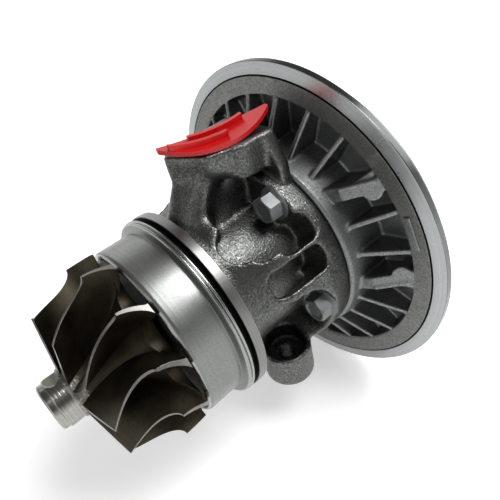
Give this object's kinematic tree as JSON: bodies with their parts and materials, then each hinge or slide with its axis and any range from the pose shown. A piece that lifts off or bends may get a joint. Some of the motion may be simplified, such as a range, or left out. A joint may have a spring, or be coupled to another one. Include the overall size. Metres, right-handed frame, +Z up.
{
  "type": "turbo cartridge",
  "caption": "Turbocharger centre cartridge: cast bearing housing with a capped oil inlet, bladed turbine and compressor wheels on one shaft, pressed heat shield and ribbed back plate.",
  "frame": {"origin": "point of the rotor axis in the front face of the turbine flange", "axes": "+X along the rotor axis towards the compressor wheel, +Z up through the capped oil inlet, -Y the side the picture shows"},
  "size_m": [0.2132, 0.19, 0.19],
  "materials": {
    "cast_iron": "grainy as-cast with machined faces",
    "shield_steel": "satin pressed sheet",
    "turbine_alloy": "dark satin casting, ground edges",
    "ground_steel": "ground",
    "bronze": "machined",
    "seal_rubber": "matt",
    "cast_aluminium": "sand cast with a turned rim",
    "plated_steel": "bright zinc",
    "wheel_aluminium": "milled",
    "red_plastic": "smooth moulded"
  },
  "bodies": {
    "housing": {"bearing_housing": "cast_iron", "heat_shield": "shield_steel", "turbine_seal_ring": "ground_steel", "bearing_retaining_rings": "ground_steel", "thrust_bearing": "bronze", "thrust_pins": "ground_steel", "oil_baffle": "shield_steel", "compressor_seal_ring": "ground_steel", "seal_plate": "ground_steel", "seal_plate_o_ring": "seal_rubber", "joint_o_ring": "seal_rubber", "back_plate": "cast_aluminium", "back_plate_bolts": "plated_steel", "cover_o_ring": "seal_rubber"},
    "rotor": {"turbine_wheel": "turbine_alloy", "rotor_shaft": "ground_steel", "thrust_ring": "ground_steel", "thrust_collar": "ground_steel", "oil_slinger": "ground_steel", "compressor_wheel": "wheel_aluminium", "compressor_nut": "ground_steel"},
    "turbine_bearing": {"turbine_journal_bearing": "bronze"},
    "compressor_bearing": {"compressor_journal_bearing": "bronze"},
    "plug": {"port_plug": "red_plastic"}
  },
  "joints": [
    {"name": "rotor_spin", "type": "hinge", "parent": "housing", "child": "rotor", "pos_m": [0, 0, 0], "axis": [1, 0, 0], "continuous": true},
    {"name": "turbine_bearing_spin", "type": "hinge", "parent": "housing", "child": "turbine_bearing", "pos_m": [0.011, 0, 0], "axis": [1, 0, 0], "continuous": true},
    {"name": "compressor_bearing_spin", "type": "hinge", "parent": "housing", "child": "compressor_bearing", "pos_m": [0.04, 0, 0], "axis": [1, 0, 0], "continuous": true},
    {"name": "plug_pull", "type": "slide", "parent": "housing", "child": "plug", "axis": [0, 0, 1], "range_m": [0, 0.05]}
  ]
}
